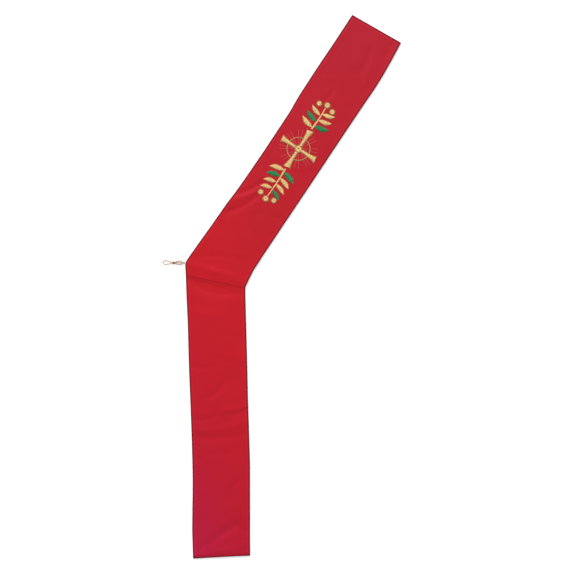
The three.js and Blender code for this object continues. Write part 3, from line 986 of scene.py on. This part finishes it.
# a piece's name, its lines, thread, pitch, height, slant, seed and slot
EMBROIDERY = [
    ("gold_satin_stitch", gold, "gold_thread", FILL_PITCH, 0.0009, FILL_SLANT, 11, "gold_thread"),
    ("gold_outline_stitch", gold_edges, "gold_edge_thread", OUTLINE_PITCH, 0.0006, OUTLINE_SLANT, 23,
     "gold_thread"),
    ("green_satin_stitch", green, "green_thread", FILL_PITCH, 0.0008, FILL_SLANT, 37, "green_thread"),
    ("green_outline_stitch", green_edges, "green_edge_thread", OUTLINE_PITCH, 0.0006, OUTLINE_SLANT, 41,
     "green_thread"),
    ("rose_stitch", rose, "rose_thread", OUTLINE_PITCH, 0.0005, OUTLINE_SLANT, 53, "rose_thread"),
]
emblem = [(stitched(name, lines, threads[thread], pitch, height, slant=slant, seed=seed), slot_name)
          for name, lines, thread, pitch, height, slant, seed, slot_name in EMBROIDERY]

# %% [markdown]
# ## Seam and hem stitches
# The hip seam is closed by hand with small red stitches, and the hem is caught down with a row of its own a
# little above the edge. They are short threads laid across the line with gaps between them, in the cloth's
# own red, so they only show close to.

# %% Seam and hem stitches
def on_front(length, creases, seed, along_mm, share):
    """Points on top of a front length, a share of the way across, some way from one of its ends."""
    x, y, middle, nearest = face_height(length, creases, np.asarray(along_mm, float) * MM,
                                        np.asarray(share, float), FRONT_BASE, True, seed)
    roll = np.sqrt(1 - (1 - np.clip(nearest / EDGE_ROLL, 0, 1)) ** 2)
    return np.column_stack([x, y, middle + PLY / 2 * roll + 0.00005])


across_shares = np.linspace(0.02, 0.98, 60)
seam_end = HIP_LENGTH.start / MM + 1.0
hem_row = HIP_LENGTH.end / MM - 6.0
seam_line = on_front(HIP_LENGTH, HIP_CREASES, 2.0, np.full(60, seam_end), across_shares)
hem_line = on_front(HIP_LENGTH, HIP_CREASES, 2.0, np.full(60, hem_row), across_shares)
red_thread = thread_material("red_thread", srgb(184, 14, 30), srgb(150, 8, 20), 0.7, 0.0, per_stitch=0.4,
                             use_uv=False, stretch=1.0, specular=0.1)
seam_stitches = stitched("hip_seam_stitches", [(seam_line, 0.0007)], red_thread, 0.0034, 0.00010,
                         slant=0.5, seed=61)
hem_stitches = stitched("hem_stitches", [(hem_line, 0.0009)], red_thread, 0.0032, 0.00022, slant=1.3, seed=67)

# %% [markdown]
# ## Floor and light
# The stole lies on a plain pale floor under soft studio light: a broad lamp from the shoulder end, a weaker
# one from the hem's side, and an even white surround. Colours are shown as they are, with no film curve.

# %% Floor, light and view
SURROUND_STRENGTH = 0.62
FLOOR_GLOW = 0.22  # keeps the floor evenly pale where the cloth shades it


def floor_plane():
    size = 8.0
    floor = mesh_piece("floor", [(-size, -size, 0), (size, -size, 0), (size, size, 0), (-size, size, 0)],
                       [(0, 1, 2, 3)], smooth=False)
    material, tree, shader = new_material("pale_floor", roughness=0.9, specular=0.1)
    shader.inputs["Base Color"].default_value = (0.98, 0.98, 0.98, 1)
    shader.inputs["Emission Color"].default_value = (1, 1, 1, 1)
    shader.inputs["Emission Strength"].default_value = FLOOR_GLOW
    floor.data.materials.append(material)
    return floor


def soft_lamp(name, location, target, size, power):
    data = bpy.data.lights.new(name, "AREA")
    data.shape = "DISK"
    data.size = size
    data.energy = power
    lamp = bpy.data.objects.new(name, data)
    lamp.location = location
    lamp.rotation_euler = (Vector(target) - Vector(location)).to_track_quat("-Z", "Y").to_euler()
    bpy.context.scene.collection.objects.link(lamp)
    return lamp


floor_plane()
soft_lamp("shoulder_side_lamp", (-1.8, 5.6, 3.8), (0, 0, 0), 2.2, 430)
soft_lamp("hem_side_lamp", (2.8, -4.8, 5.2), (0, 0, 0), 4.4, 80)
world = bpy.data.worlds.new("white_surround")
world.use_nodes = True
world.node_tree.nodes["Background"].inputs["Color"].default_value = (1, 1, 1, 1)
world.node_tree.nodes["Background"].inputs["Strength"].default_value = SURROUND_STRENGTH
bpy.context.scene.world = world
bpy.context.scene.view_settings.view_transform = "Standard"
bpy.context.scene.view_settings.look = "None"

# %% [markdown]
# ## Put each piece on the body
# Every piece rides on the one body, and the CAD nodes that it stands for are hidden.

# %% Pieces on the body
PIECES = [
    (hip_cord, "cord", ["hip_loop_cord"]),
    (pinch_binding, "binding_thread", ["hip_loop_binding"]),
    (root_binding, "binding_thread", []),
    (front_shoulder, "front_cloth", ["front_shoulder_band"]),
    (front_hip, "front_cloth", ["front_hip_band"]),
    (back_shoulder, "back_cloth", ["back_shoulder_band"]),
    (back_hip, "back_cloth", ["back_hip_band"]),
    (seam_stitches, "seam_thread", []),
    (hem_stitches, "seam_thread", []),
] + [(piece, slot_name, []) for piece, slot_name in emblem]
for piece, slot_name, nodes in PIECES:
    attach(piece, "root")
    if nodes:
        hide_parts(*nodes)

for piece, length, under in ((front_shoulder, SHOULDER_LENGTH, back_shoulder), (front_hip, HIP_LENGTH, back_hip),
                             (back_shoulder, SHOULDER_LENGTH, None), (back_hip, HIP_LENGTH, None)):
    stations = np.linspace(length.start, length.end, 200)
    widths = length.width(stations)

# %% Largest piece
print("largest piece, faces:", max((len(piece.data.polygons), piece.name) for piece, _, _ in PIECES))
